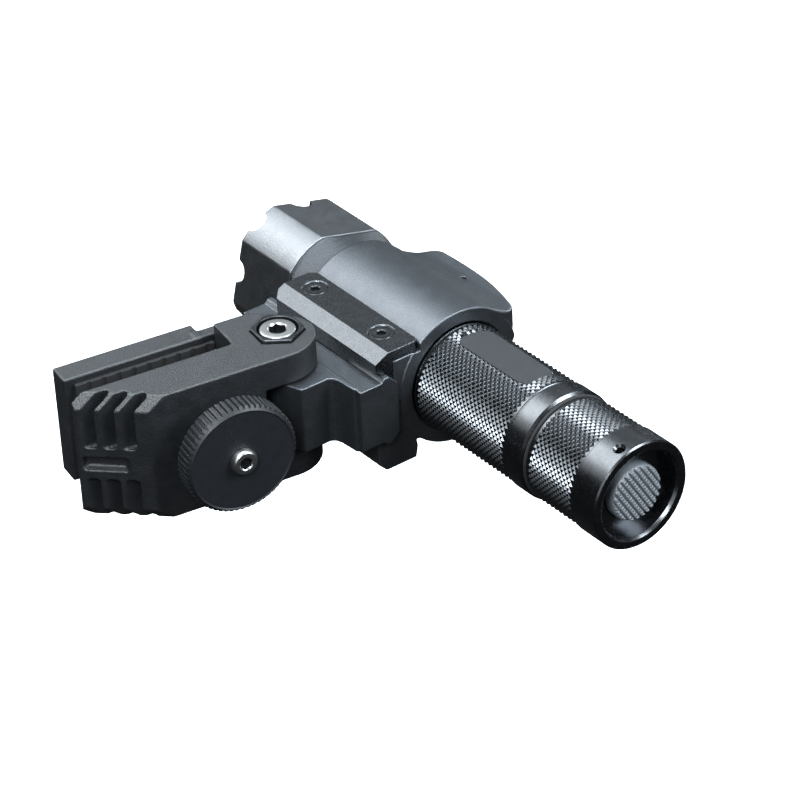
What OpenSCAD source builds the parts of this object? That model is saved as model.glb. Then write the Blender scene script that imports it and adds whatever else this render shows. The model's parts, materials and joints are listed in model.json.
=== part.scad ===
// Tactical flashlight in a rail ring mount, carried by a swivelling clamp
// that grips the edge of a shield or panel.
// Row frame: +X along the clamp arm towards the light, +Y away from the
// thumbwheel through the gripped panel, +Z up.  The origin is on the
// gripping face of the front jaw, at mid height.
// The light is drawn in its own frame (Y is the beam direction, y = 0 is
// the rear rim of the tail cap) and is put in place by on_light().

/* [Swivel] */
// Swivel angle of the light about the pivot as built, degrees
swivel_deg = 9; // [-10:1:12]
// Distance from the pivot axis to the light's axis, mm
axis_offset = 41.2; // [40:0.1:44]
// Distance of the pivot ahead of the tail rim, mm
pivot_ahead = 101.2; // [98:0.1:104]

/* [Flashlight] */
// Radius of the knurled barrel, mm
barrel_r = 15.7; // [15.5:0.05:15.7]
// Radius of the battery bore, mm
bore_r = 13.3; // [13.2:0.05:13.4]
// Radius of both barrel threads, mm
thread_r = 14.3; // [14.1:0.05:14.4]
// Radius over the bezel's corners, mm
bezel_r = 21.2; // [20.8:0.1:21.6]
// Half distance across the bezel's flats, mm
bezel_flat = 19.0; // [18.8:0.1:19.4]
// Overall length of the light, mm
light_len = 154; // [152:0.5:156]
// Radius of the strike bezel's scallops, mm
scallop_r = 3.4; // [2.5:0.1:3.8]
// Travel of the tail button, mm
button_travel = 1.6; // [1:0.1:1.7]

/* [Ring mount] */
// Outer radius of the ring, mm
ring_r = 20.2; // [19.5:0.1:20.4]
// Rear face of the ring along the light, mm
ring_y0 = 75.5; // [75:0.5:77]
// Length of the ring, mm
ring_len = 47.6; // [46:0.1:47.6]
// Distance between the two rail jaw screws, three rail pitches, mm
jaw_screw_gap = 30.03; // [30:0.01:30.1]

/* [Rail carrier] */
// Overall height of the rail head, mm
rail_w = 21.2; // [21:0.1:21.3]
// Height of the rail's base, mm
rail_base = 19.0; // [18.6:0.1:19.2]
// Height of the rail's top land, mm
rail_land = 15.67; // [15.5:0.01:15.8]
// Pitch of the cross slots, mm
rail_pitch = 10.01; // [10:0.01:10.02]
// Width of a cross slot, mm
rail_slot = 5.23; // [5.2:0.01:5.3]
// Length of the rail, mm
rail_len = 54.0; // [53:0.5:54]

/* [Clamp] */
// Half height of the clamp, mm
clamp_h = 19.5; // [19:0.1:20]
// Half height of the clevis gap, mm
gap_h = 10.6; // [10.6:0.05:10.8]
// Thickness of the front jaw, mm
jaw_t = 13.4; // [13:0.1:14]
// Distance from the pivot to the tip of the front jaw, mm
jaw_reach = 60.7; // [60:0.1:61]
// Radius of the thumbwheel, mm
wheel_r = 16.2; // [15:0.1:16.4]
// Thickness of the thumbwheel, mm
wheel_t = 7.0; // [6:0.1:7.2]
// Distance from the pivot to the clamping screw, mm
wheel_x = 23.8; // [23.5:0.1:24]
// Radius of the clamping screw, mm
spindle_r = 4.0; // [3.8:0.1:4]
// Gap between the jaws, mm
slot_w = 12.0; // [11.9:0.1:12]

/* [Hidden] */
$fn = 96;
e = 0.05;                       // running clearance
pv = [42, -0.5];                // pivot axis in the row frame
yb = -(jaw_t - 0.5);            // front face of the clamp, pivot frame
rx = -21.8;                     // rail land, light frame
sl = pivot_ahead;               // rail centre along the light

// ---- placing -------------------------------------------------------
module on_pivot() translate([pv[0], pv[1], 0]) children();
module on_light() on_pivot() rotate([0, 0, swivel_deg])
  translate([axis_offset, -pivot_ahead, 0]) children();
// a solid of revolution about the light's axis, profile in (radius, y)
module spin(p) rotate([-90, 0, 0]) rotate_extrude() polygon(p);
// a cylinder from y0 to y1 about a line parallel to Y
module ycyl(r, y0, y1, x = 0, z = 0, f = 96)
  translate([x, y0, z]) rotate([-90, 0, 0]) cylinder(r = r, h = y1 - y0, $fn = f);
module zcyl(r, z0, z1, x = 0, y = 0, f = 96)
  translate([x, y, z0]) cylinder(r = r, h = z1 - z0, $fn = f);
// a prism along Y from an outline in (x, z)
module yprism(p, y0, y1)
  translate([0, y1, 0]) rotate([90, 0, 0]) linear_extrude(height = y1 - y0) polygon(p);

// round wire along points, one closed polyhedron
function unit(v) = v / norm(v);
function tang(p, i) = unit(p[min(i + 1, len(p) - 1)] - p[max(i - 1, 0)]);
function side(t) = unit(cross(t, [0, 1, 0]));
module wire(p, r, n = 8) {
  m = len(p);
  pts = [for (i = [0:m - 1]) let (t = tang(p, i), a = side(t), b = cross(t, a))
    for (k = [0:n - 1]) p[i] + r * (cos(360 * k / n) * a + sin(360 * k / n) * b)];
  body = [for (i = [0:m - 2]) for (k = [0:n - 1])
    let (q = (k + 1) % n) [i * n + k, i * n + q, (i + 1) * n + q, (i + 1) * n + k]];
  polyhedron(points = pts,
    faces = concat(body, [[for (k = [n - 1:-1:0]) k]], [[for (k = [0:n - 1]) (m - 1) * n + k]]));
}
// coil about the light's axis from y0 to y1, radius tapering ra to rb
function coil(ra, rb, y0, y1, turns, per) = [for (i = [0:turns * per])
  let (s = i / (turns * per), a = 360 * i / per, r = ra + (rb - ra) * s)
    [r * cos(a), y0 + (y1 - y0) * s, r * sin(a)]];

// ---- clamp ---------------------------------------------------------
// Outline of the clamp from above, pivot frame
ear_c = [-2.6, yb + 12.2];
function ear_arc() = [for (a = [-90:5:-5]) ear_c + 12.2 * [cos(a), sin(a)]];
module clamp_plan() polygon(concat(
  [[-jaw_reach, 0.5], [-jaw_reach, -1.0], [-44.6, yb]], ear_arc(),
  [[8.9, 1.4], [7.6, 3.6], [2, 8.8], [-2, 11.7], [-3, 12.2], [-13.5, 12.2], [-13.5, 0.5]]));
// Frame of the bevelled tip: x runs along the bevel, y goes into the jaw
bev_a = atan2(yb + 1.0, 16.1);
module on_bevel() translate([-jaw_reach, -1.0, 0]) rotate([0, 0, bev_a]) children();

// Groove cut along X between y0 and y1, with a round end at xe, that runs
// out over the top or the bottom edge from height z0
module grip_groove(y0, y1, xe, z0, up) {
  w = y1 - y0;
  translate([0, 0, up ? z0 : -clamp_h - 1]) {
    translate([-jaw_reach - 5, y0, 0]) cube([xe + jaw_reach + 5 - w / 2, w, clamp_h + 1 - (up ? z0 : -z0)]);
    translate([xe - w / 2, (y0 + y1) / 2, 0]) cylinder(r = w / 2, h = clamp_h + 1 - (up ? z0 : -z0), $fn = 32);
  }
}

module clamp_body() color([0.19, 0.20, 0.21]) on_pivot() difference() {
  translate([0, 0, -clamp_h]) linear_extrude(height = 2 * clamp_h) clamp_plan();
  // clevis gap for the carrier's tongue
  translate([-10.4, -40, -gap_h]) cube([40, 80, 2 * gap_h]);
  // pivot bore and the two hexagon pockets
  zcyl(4.5 + e, -clamp_h - 1, clamp_h + 1);
  rotate([0, 0, 32]) zcyl(6.65 / cos(30), 14.6, clamp_h + 1, f = 6);
  rotate([0, 0, 32]) zcyl(5.1 / cos(30), -clamp_h - 1, -14.0, f = 6);
  // bore for the threaded insert and the pocket that the pad sinks into
  ycyl(6.0, yb - 1, 1, -wheel_x, 0);
  ycyl(9.6, -5.5, 1, -wheel_x, 0);
  // chamfers over and under the bevelled tip
  for (s = [-1, 1]) on_bevel() translate([-20, 0, 0]) rotate([90, 0, 90])
    linear_extrude(height = 60) polygon([[-5, s * 9.37], [4, s * 20.77], [-5, s * 21.5]]);
  // finger grooves and the oblong pocket between them
  for (g = [[-4.0, -1.95, -51.3], [-7.15, -5.0, -47.3], [-10.35, -8.2, -43.3]]) {
    grip_groove(g[0], g[1], g[2], 3.6, true);
    grip_groove(g[0], g[1], g[2], -6.1, false);
  }
  on_bevel() translate([0.8, -1, -3.5]) cube([12.7, 2.7, 4.3]);
  // threaded holes for the rear jaw's screws
  for (s = [-1, 1]) ycyl(1.25, 4.2, 13, -9.2, s * 13.4, 32);
}

module clamp_insert() color([0.72, 0.60, 0.32]) on_pivot() difference() {
  ycyl(6.0, yb + 0.1, -5.5, -wheel_x);
  ycyl(spindle_r + e, yb - 1, -5, -wheel_x);
}

module rear_jaw() color([0.19, 0.20, 0.21]) on_pivot() difference() {
  union() {
    // gripping plate
    translate([-jaw_reach + 3, slot_w + 0.5, -16.2]) cube([jaw_reach - 16.5, 7.5, 32.4]);
    // two tabs on the backs of the ears, clear of the swinging tongue
    for (s = [-1, 1]) translate([-14.5, slot_w + 0.5, s > 0 ? 10.8 : -16.2])
      cube([9.5, 3.8, 5.4]);
  }
  // bevelled free end
  translate([-jaw_reach + 3, slot_w + 8, -20]) rotate([0, 0, 33])
    translate([-12, 0, 0]) cube([40, 20, 40]);
  // seat of the rubber lining
  translate([-jaw_reach + 6, slot_w - 0.5, -14.2]) cube([41, 1.6, 28.4]);
  // countersunk holes
  for (s = [-1, 1]) {
    ycyl(1.6, slot_w - 1, slot_w + 6, -9.2, s * 13.4, 32);
    translate([-9.2, slot_w + 2.5, s * 13.4]) rotate([-90, 0, 0])
      cylinder(r1 = 1.6, r2 = 3.4, h = 1.9, $fn = 48);
  }
}

module rear_jaw_pad() color([0.07, 0.07, 0.07]) on_pivot() difference() {
  translate([-jaw_reach + 6, slot_w - 0.9, -14.2]) cube([41, 2.0, 28.4]);
  // shallow grip channels
  for (i = [0:8]) translate([-jaw_reach + 9 + i * 4.4, slot_w - 1.5, -15])
    cube([1.4, 1.1, 30]);
}

module rear_jaw_screws() color([0.10, 0.10, 0.11]) on_pivot() for (s = [-1, 1])
  difference() {
    union() {
      ycyl(1.25, 4.6, slot_w + 2.7, -9.2, s * 13.4, 32);
      translate([-9.2, slot_w + 2.6, s * 13.4]) rotate([-90, 0, 0])
        cylinder(r1 = 1.5, r2 = 3.1, h = 1.6, $fn = 48);
    }
    ycyl(1.0 / cos(30), slot_w + 2.9, slot_w + 6, -9.2, s * 13.4, 6);
  }

// ---- pivot ---------------------------------------------------------
module pivot_bushing() color([0.16, 0.165, 0.17]) on_pivot() difference() {
  union() {
    rotate([0, 0, 32]) zcyl(6.5 / cos(30), 14.65, 20.3, f = 6);
    zcyl(4.5, -10.9, 15);
  }
  zcyl(5.7, 15.8, 21);
  zcyl(3.05, -12, 16);
}

module pivot_bolt() color([0.72, 0.72, 0.70]) on_pivot() difference() {
  union() {
    zcyl(5.0, 15.85, 20.1);
    zcyl(3.0, -18.6, 16);
  }
  rotate([0, 0, 12]) zcyl(2.5 / cos(30), 17.4, 21, f = 6);
}

module pivot_nut() color([0.55, 0.55, 0.54]) on_pivot() difference() {
  rotate([0, 0, 32]) zcyl(5.0 / cos(30), -18.9, -14.05, f = 6);
  zcyl(3.02, -20, -13);
}

module friction_washers() color([0.80, 0.79, 0.74]) on_pivot() for (s = [-1, 1])
  difference() {
    zcyl(8.4, s > 0 ? 9.7 : -10.55, s > 0 ? 10.55 : -9.7);
    zcyl(4.6, -12, 12);
  }

// ---- clamping screw ------------------------------------------------
module pressure_pad() color([0.45, 0.46, 0.47]) on_pivot() difference() {
  ycyl(9.0, -3.0, -0.5, -wheel_x);
  ycyl(2.5 + e, -3.5, -1.4, -wheel_x);
}

module pad_facing() color([0.07, 0.07, 0.07]) on_pivot() difference() {
  ycyl(9.0, -0.5, 0.5, -wheel_x);
  for (r = [3, 6]) rotate([0, 0, 0]) difference() {
    ycyl(r + 0.5, 0.1, 1, -wheel_x);
    ycyl(r - 0.5, 0, 1.1, -wheel_x);
  }
}

wf = yb - 4.7 - wheel_t;        // front face of the thumbwheel
module clamp_spindle() color([0.60, 0.60, 0.60]) on_pivot() difference() {
  union() {
    ycyl(spindle_r, wf + 2.0, -3.2, -wheel_x);
    ycyl(2.5, -4, -1.5, -wheel_x);
  }
  ycyl(2.0, wf - 1, wf + 12, -wheel_x, 0, 48);
}

module thumbwheel() color([0.13, 0.13, 0.135]) on_pivot() difference() {
  translate([-wheel_x, wf, 0]) spin([[0, 0.25], [13.2, 0.25], [13.6, 0],
    [wheel_r - 0.9, 0], [wheel_r, 0.9], [wheel_r, wheel_t - 0.8],
    [wheel_r - 0.8, wheel_t], [0, wheel_t]]);
  ycyl(spindle_r, wf + 2.0, wf + 20, -wheel_x);
  ycyl(2.1, wf - 1, wf + 3, -wheel_x, 0, 48);
}

module thumbwheel_screw() color([0.85, 0.85, 0.84]) on_pivot() difference() {
  union() {
    translate([-wheel_x, wf + 0.25, 0]) spin([[0, -2.2], [1.9, -2.2],
      [2.9, -1.75], [3.5, -1.0], [3.8, -0.2], [3.8, 0], [0, 0]]);
    ycyl(1.95, wf, wf + 10, -wheel_x, 0, 48);
  }
  ycyl(1.25 / cos(30), wf - 3, wf - 0.4, -wheel_x, 0, 6);
}

// ---- rail carrier --------------------------------------------------
// Outline of the shoulder and tongue from above, about the pivot
function shoulder(s) = [[7.6, s * 25.4], [6.6, s * 25.4], [6.1, s * 24.6],
  [5.7, s * 18.8], [5.1, s * 17.0], [3.9, s * 16.2], [-4.3, s * 16.2], [-4.9, s * 15.0]];
module carrier_plan() polygon(concat(shoulder(-1),
  [for (a = [198:-4:162]) 9.6 * [cos(a), sin(a)]],
  [for (i = [7:-1:0]) shoulder(1)[i]]));
module rail_section() {
  h = rail_w / 2;
  l = rail_land / 2;
  b = rail_base / 2;
  polygon([[rx, l], [rx - (h - l), h], [-26.0, h], [-26.0 - (h - b), b],
    [-29.5, b], [-29.5, -b], [-26.0 - (h - b), -b], [-26.0, -h],
    [rx - (h - l), -h], [rx, -l]]);
}

module rail_carrier() color([0.30, 0.31, 0.32]) on_light() difference() {
  union() {
    // rail head
    translate([0, sl + rail_len / 2, 0]) rotate([90, 0, 0])
      linear_extrude(height = rail_len) rail_section();
    translate([-axis_offset, sl, 0]) {
      // base behind the rail
      translate([6.9, -rail_len / 2, -rail_base / 2]) cube([5.3, rail_len, rail_base]);
      // shoulder and tongue
      translate([0, 0, -10.1]) linear_extrude(height = 20.2) carrier_plan();
    }
  }
  // cross slots
  for (i = [-2:2]) translate([rx - 3.0, sl + i * rail_pitch - rail_slot / 2, -20])
    cube([5, rail_slot, 40]);
  // pivot bore and washer seats
  translate([-axis_offset, sl, 0]) {
    zcyl(4.5 + e, -20, 20);
    zcyl(8.5, 9.6, 20);
    zcyl(8.5, -20, -9.6);
  }
}

// ---- ring mount ----------------------------------------------------
ry1 = ring_y0 + ring_len;
module ring_mount() color([0.30, 0.31, 0.32]) on_light() difference() {
  union() {
    spin([[0, ring_y0], [ring_r - 0.5, ring_y0], [ring_r, ring_y0 + 0.5],
      [ring_r, ry1 - 0.5], [ring_r - 0.5, ry1], [0, ry1]]);
    // saddle between the ring and the rail, and the fixed lower jaw
    yprism([[-8, 13.4], [rx + 0.1, 13.4], [rx + 0.1, -7.8], [-24.62, -10.7], [-26.05, -10.7],
      [-27.0, -9.75], [-27.9, -9.75], [-27.9, -17.7], [-25.4, -20.2], [-15.3, -20.2],
      [-14.6, -16.6], [-15.0, -14.6], [-8, -16]], ring_y0 + 0.5, ry1);
    // recoil lugs that fill two of the rail's slots
    for (i = [-1, 1]) translate([rx - 2.8, sl + i * rail_pitch - 2.55, -7.6]) cube([5, 5.1, 15.2]);
    // side wing
    intersection() {
      translate([-11.2, 96.8, 4.2]) cylinder(r = 36, h = 7.8);
      translate([0, ring_y0 + 0.6, 0]) cube([40, ry1 - ring_y0 - 5, 20]);
    }
  }
  // bore
  ycyl(16.0, ring_y0 - 1, ry1 + 1);
  spin([[0, ring_y0 - 0.1], [16.9, ring_y0 - 0.1], [16.0, ring_y0 + 0.8], [0, ring_y0 + 0.8]]);
  spin([[0, ry1 + 0.1], [16.9, ry1 + 0.1], [16.0, ry1 - 0.8], [0, ry1 - 0.8]]);
  // seat of the jaw plate
  translate([-32, ring_y0 - 1, 13.4]) cube([19.12, ring_len + 2, 10]);
  // hollow under the wing
  ycyl(6.0, ring_y0 - 1, ry1 + 1, 24.6, 1.2);
  // grip lines on the fixed jaw's end
  for (z = [-15.4, -16.9]) translate([-21.6, ring_y0, z - 0.2]) cube([5, 1.0, 0.45]);
  // threaded holes for the jaw screws
  for (s = [-1, 1]) zcyl(1.65, 2, 14, -18.3, sl - 0.6 + s * jaw_screw_gap / 2, 32);
  // threaded hole for the set screw in the wing
  zcyl(1.0, 4, 13, 20.3, 99.8, 32);
}

module ring_liner() color([0.06, 0.06, 0.06]) on_light() difference() {
  ycyl(15.98, ring_y0 + 1, ry1 - 1);
  ycyl(barrel_r + 0.02, ring_y0, ry1);
}

module ring_set_screw() color([0.08, 0.08, 0.08]) on_light() difference() {
  zcyl(1.0, 6.6, 11.6, 20.3, 99.8, 32);
  zcyl(0.5 / cos(30), 10.4, 12, 20.3, 99.8, 6);
}

// Upper jaw: outline in (x, z), hooked over the rail's upper edge
module rail_jaw_plate() color([0.15, 0.15, 0.16]) on_light() difference() {
  union() {
    yprism([[-13.0, 13.5], [-13.0, 16.8], [-23.2, 16.8], [-27.6, 14.6], [-27.6, 11.7],
      [-22.5, 11.7], [rx, 11.7], [rx, 13.5]], 76.0, 123.4);
    yprism([[rx - 0.05, 12.0], [-27.6, 12.0], [-27.6, 9.75], [-27.0, 9.75], [-26.05, 10.7],
      [-24.62, 10.7], [rx - 0.05, 7.9]], 89.0, 123.4);
    yprism([[rx - 0.05, 12.0], [-26.2, 12.0], [-26.2, 10.75], [-24.62, 10.7],
      [rx - 0.05, 7.9]], 76.0, 89.0);
  }
  // corners cut in plan at both ends of the outer edge
  translate([-27.6, 123.4, 0]) rotate([0, 0, 45]) translate([-6, -1.6, 0]) cube([12, 6, 30]);
  translate([-13.0, 123.4, 0]) rotate([0, 0, 45]) translate([-1.2, -6, 0]) cube([6, 12, 30]);
  for (s = [-1, 1]) translate([-18.3, sl - 0.6 + s * jaw_screw_gap / 2, 0]) {
    zcyl(2.05, 5, 20, f = 48);
    translate([0, 0, 14.9]) cylinder(r1 = 2.05, r2 = 3.75, h = 1.91, $fn = 64);
  }
}

module jaw_screw() difference() {
  union() {
    zcyl(1.6, 4.2, 15.2, f = 48);
    translate([0, 0, 14.75]) cylinder(r1 = 1.75, r2 = 3.5, h = 1.95, $fn = 64);
  }
  zcyl(1.2 / cos(30), 15.4, 20, f = 6);
}
module jaw_screw_front() color([0.10, 0.10, 0.10]) on_light()
  translate([-18.3, sl - 0.6 + jaw_screw_gap / 2, 0]) jaw_screw();
module jaw_screw_rear() color([0.10, 0.10, 0.10]) on_light()
  translate([-18.3, sl - 0.6 - jaw_screw_gap / 2, 0]) jaw_screw();

// ---- flashlight ----------------------------------------------------
hy = 123.3;                     // shoulder where the head starts
by = 130.6;                     // rear edge of the strike bezel
cap_y = 28.4;                   // front edge of the tail cap

module barrel() color([0.09, 0.09, 0.095]) on_light() difference() {
  spin([[0, 19.0], [thread_r - 0.4, 19.0], [thread_r, 19.4], [thread_r, 29.7],
    [15.2, 29.7], [15.9, 30.4], [15.9, 36.2], [15.5, 36.6], [15.1, 36.8], [15.1, 37.3],
    [15.4, 37.5], [barrel_r, 37.8], [barrel_r, 75.2],
    [barrel_r - 0.1, 75.3], [barrel_r - 0.1, hy], [thread_r, hy], [thread_r, 129.4], [0, 129.4]]);
  ycyl(bore_r, 18, 131);
}

module tail_oring() color([0.05, 0.05, 0.05]) on_light() translate([0, 29.07, 0])
  rotate([-90, 0, 0]) rotate_extrude() translate([14.9, 0]) circle(r = 0.52, $fn = 24);

module head_oring() color([0.05, 0.05, 0.05]) on_light() translate([0, 124.0, 0])
  rotate([-90, 0, 0]) rotate_extrude() translate([14.95, 0]) circle(r = 0.52, $fn = 24);

// Rounded square of the bezel: four flats cut on a round bar
module flats(d) for (k = [0:3]) rotate([0, 14.4 + 90 * k, 0])
  translate([-40, by - 20, d]) cube([80, 80, 20]);

module strike_bezel() color([0.33, 0.34, 0.36]) on_light() difference() {
  spin([[0, by], [bezel_r, by], [bezel_r, light_len - 0.4], [bezel_r - 0.4, light_len], [0, light_len]]);
  flats(bezel_flat);
  // front opening, lens seat and rear thread
  ycyl(16.6, 140, light_len + 1);
  spin([[0, light_len - 0.6], [16.6, light_len - 0.6], [17.3, light_len + 0.1], [0, light_len + 0.1]]);
  ycyl(17.6, by - 1, 148.4);
  // eight scallops in the front rim
  for (k = [0:3]) rotate([0, 14.4 + 45 * k, 0]) translate([0, light_len + 0.2, 0])
    cylinder(r = scallop_r, h = 60, center = true, $fn = 64);
}

module head_housing() color([0.20, 0.205, 0.215]) on_light() difference() {
  union() {
    difference() {
      spin([[0, hy + 0.1], [17.6, hy + 0.1], [bezel_r - 0.2, by - 0.9], [bezel_r - 0.2, by], [0, by]]);
      // the flats lean in behind the bezel
      for (k = [0:3]) rotate([0, 14.4 + 90 * k, 0]) translate([0, by, bezel_flat - 0.2])
        rotate([-22, 0, 0]) translate([-40, -40, 0]) cube([80, 60, 20]);
    }
    ycyl(17.5, by, 136.4);
  }
  // rear thread with its seal seat, and the front cavity
  ycyl(thread_r + 0.03, hy - 1, 129.45);
  spin([[0, hy - 1], [15.5, hy - 1], [15.5, 124.6], [0, 124.6]]);
  ycyl(15.6, 131.4, 140);
  // wire hole through the shelf
  ycyl(2.5, 125, 140, 6, 0, 48);
}

module lens() color([0.75, 0.82, 0.86, 0.35]) on_light() ycyl(17.4, 145.9, 147.4);

module lens_oring() color([0.05, 0.05, 0.05]) on_light() difference() {
  ycyl(17.4, 147.4, 148.4);
  ycyl(16.4, 147, 149);
}

// Parabolic bowl: r = sqrt(4 f (y - y0))
function bowl(y) = sqrt(20 * (y - 132.2));
module reflector() color([0.80, 0.81, 0.82]) on_light()
  spin(concat([for (i = [0:12]) [bowl(133.7 + i), 133.7 + i]],
    [[17.3, 145.7], [17.3, 144.2], [15.3, 142.6], [8.5, 133.3], [bowl(133.7), 133.3]]));

module led_board() color([0.85, 0.85, 0.80]) on_light() difference() {
  ycyl(10, 131.4, 132.9);
  ycyl(1.6, 131, 134, 6, 0, 32);
}

module led_emitter() color([0.90, 0.82, 0.30]) on_light() {
  translate([-2.5, 132.9, -2.5]) cube([5, 0.8, 5]);
  intersection() {
    translate([0, 133.6, 0]) sphere(r = 2.0, $fn = 48);
    translate([-4, 133.5, -4]) cube([8, 8, 8]);
  }
}

module driver_module() color([0.75, 0.62, 0.30]) on_light() difference() {
  ycyl(13.1, 113.5, 129.3);
  ycyl(11.4, 116.0, 127.5);
  ycyl(1.0, 127, 130, 6, 0, 24);
}

module front_contact_spring() color([0.80, 0.68, 0.35]) on_light()
  wire(coil(3.4, 2.2, 113.0, 111.0, 3, 12), 0.4);

module battery_cell() color([0.16, 0.30, 0.42]) on_light() union() {
  ycyl(13.1, 42.5, 109.5);
  ycyl(4.0, 109.4, 110.5);
}

module tail_cap() color([0.09, 0.09, 0.095]) on_light() difference() {
  spin([[0, 0], [15.0, 0], [15.7, 0.7], [15.7, 9.3], [15.3, 9.7], [15.4, 10.1],
    [15.4, cap_y - 0.5], [14.9, cap_y], [0, cap_y]]);
  // recess around the button, with a rounded lip
  spin([[0, -1], [13.4, -1], [13.4, 0], [12.7, 0.7], [12.7, 4.6], [0, 4.6]]);
  ycyl(8.3, 0, 8);
  // switch cavity and the thread for the barrel
  ycyl(12.2, 6.4, 30);
  ycyl(thread_r + e, 18.9, 30);
  // lanyard hole in the rim
  rotate([0, -16.5, 0]) zcyl(1.0, 10, 20, 0, 3.2, 32);
}

module switch_module() color([0.12, 0.12, 0.12]) on_light() difference() {
  ycyl(11.9, 7.3 + button_travel, 16.7);
  ycyl(2.5 + e, 8, 11.9 + button_travel, 0, 0, 48);
}

module switch_retaining_ring() color([0.75, 0.62, 0.30]) on_light() difference() {
  ycyl(12.15, 16.75, 18.8);
  ycyl(6.5, 16, 20);
  for (a = [0, 180]) rotate([0, a, 0]) ycyl(0.8, 16, 20, 9.3, 0, 24);
}

module tail_spring() color([0.72, 0.72, 0.70]) on_light()
  wire(coil(4.8, 3.4, 17.4, 41.8, 5, 12), 0.55);

module tail_button() color([0.30, 0.31, 0.32]) on_light()
  spin([[0, 0.6], [6.6, 0.8], [7.6, 1.2], [8.0, 1.9], [8.1, 6.5], [10.5, 6.5], [10.5, 7.1], [0, 7.1]]);

module switch_plunger() color([0.85, 0.85, 0.82]) on_light() ycyl(2.5, 7.1, 10.8, 0, 0, 48);

// ---- draw ----------------------------------------------------------
clamp_body();
clamp_insert();
rear_jaw();
rear_jaw_pad();
rear_jaw_screws();
pivot_bolt();
pivot_bushing();
pivot_nut();
friction_washers();
pressure_pad();
pad_facing();
clamp_spindle();
thumbwheel();
thumbwheel_screw();
rail_carrier();
ring_mount();
ring_liner();
ring_set_screw();
rail_jaw_plate();
jaw_screw_front();
jaw_screw_rear();
barrel();
tail_oring();
head_oring();
head_housing();
strike_bezel();
lens();
lens_oring();
reflector();
led_board();
led_emitter();
driver_module();
front_contact_spring();
battery_cell();
tail_cap();
switch_module();
switch_retaining_ring();
tail_spring();
tail_button();
switch_plunger();
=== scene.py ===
"""Looks of the tactical flashlight with ring mount and swivelling clamp."""

import json
import math

import bmesh
import bpy
import numpy as np
from mathutils import Matrix, Vector


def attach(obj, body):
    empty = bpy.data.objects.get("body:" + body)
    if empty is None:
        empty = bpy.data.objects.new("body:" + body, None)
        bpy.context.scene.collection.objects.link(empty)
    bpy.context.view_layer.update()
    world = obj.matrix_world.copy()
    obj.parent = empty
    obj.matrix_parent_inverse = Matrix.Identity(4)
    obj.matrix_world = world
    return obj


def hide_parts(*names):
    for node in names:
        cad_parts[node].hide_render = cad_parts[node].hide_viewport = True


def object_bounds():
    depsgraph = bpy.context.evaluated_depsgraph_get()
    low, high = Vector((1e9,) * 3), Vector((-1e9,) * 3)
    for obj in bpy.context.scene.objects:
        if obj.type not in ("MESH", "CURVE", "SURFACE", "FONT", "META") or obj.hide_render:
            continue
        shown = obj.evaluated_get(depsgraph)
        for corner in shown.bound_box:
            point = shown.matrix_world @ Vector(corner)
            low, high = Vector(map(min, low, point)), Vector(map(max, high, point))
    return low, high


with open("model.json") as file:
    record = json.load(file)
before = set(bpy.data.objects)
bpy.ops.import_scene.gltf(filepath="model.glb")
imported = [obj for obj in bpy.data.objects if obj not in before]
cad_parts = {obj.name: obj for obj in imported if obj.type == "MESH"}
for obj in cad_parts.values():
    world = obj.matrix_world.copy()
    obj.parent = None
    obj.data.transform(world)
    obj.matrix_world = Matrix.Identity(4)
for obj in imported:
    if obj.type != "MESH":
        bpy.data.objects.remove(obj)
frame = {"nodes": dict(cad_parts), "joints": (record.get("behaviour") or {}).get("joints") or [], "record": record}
cad_lo, cad_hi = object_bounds()
nodes = frame["nodes"]
record = frame["record"]
joints = {j["name"]: j for j in frame["joints"]}

MM = 0.001

# ---------------------------------------------------------------- frames
# The swivel's axis and the light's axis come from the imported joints.
pivot = Vector(joints["light_swivel"]["pos_m"])
beam = Vector(joints["tail_cap_twist"]["axis"]).normalized()
tail = Vector(joints["tail_cap_twist"]["pos_m"]) - 0.014 * beam
wheel_c = Vector(joints["wheel_turn"]["pos_m"])
across = Vector((beam.y, -beam.x, 0.0))  # the light frame's X
LIGHT = Matrix(
    (
        (across.x * MM, beam.x * MM, 0.0, tail.x),
        (across.y * MM, beam.y * MM, 0.0, tail.y),
        (0.0, 0.0, MM, tail.z),
        (0.0, 0.0, 0.0, 1.0),
    )
)
PIVOT = Matrix.Translation(pivot) @ Matrix.Scale(MM, 4)
scene = bpy.context.scene

# ---------------------------------------------------------------- camera
cam_data = bpy.data.cameras.new("camera")
cam = bpy.data.objects.new("camera", cam_data)
scene.collection.objects.link(cam)
scene.camera = cam
cam_data.lens, cam_data.sensor_width = 160.789, 36.0
cam_data.clip_start, cam_data.clip_end = 0.05, 60.0
right = Vector((0.8787789, -0.4754231, -0.0414791))
down = Vector((-0.2923404, -0.4675844, -0.8342074))
ahead = Vector((0.3772065, 0.7452099, -0.5498886))
cam.matrix_world = Matrix(
    (
        (right.x, -down.x, -ahead.x, -0.2960054),
        (right.y, -down.y, -ahead.y, -0.7388392),
        (right.z, -down.z, -ahead.z, 0.5292950),
        (0, 0, 0, 1),
    )
)

# ---------------------------------------------------------------- stage
scene.view_settings.view_transform = "Standard"
scene.view_settings.look = "None"
centre = (cad_lo + cad_hi) / 2


def area(name, direction, dist, size_x, size_y, watts, colour=(1, 1, 1), aim=None):
    data = bpy.data.lights.new(name, "AREA")
    data.shape = "RECTANGLE"
    data.size, data.size_y = size_x, size_y
    data.energy = watts
    data.color = colour
    o = bpy.data.objects.new(name, data)
    scene.collection.objects.link(o)
    d = Vector(direction).normalized()
    target = aim if aim is not None else centre
    o.location = target + d * dist
    o.rotation_mode = "QUATERNION"
    o.rotation_quaternion = (-d).to_track_quat("-Z", "Y")
    return o


world = bpy.data.worlds.new("studio")
scene.world = world
world.use_nodes = True
world.node_tree.nodes["Background"].inputs["Color"].default_value = (0.9, 0.95, 1.0, 1)
world.node_tree.nodes["Background"].inputs["Strength"].default_value = 0.03

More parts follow.
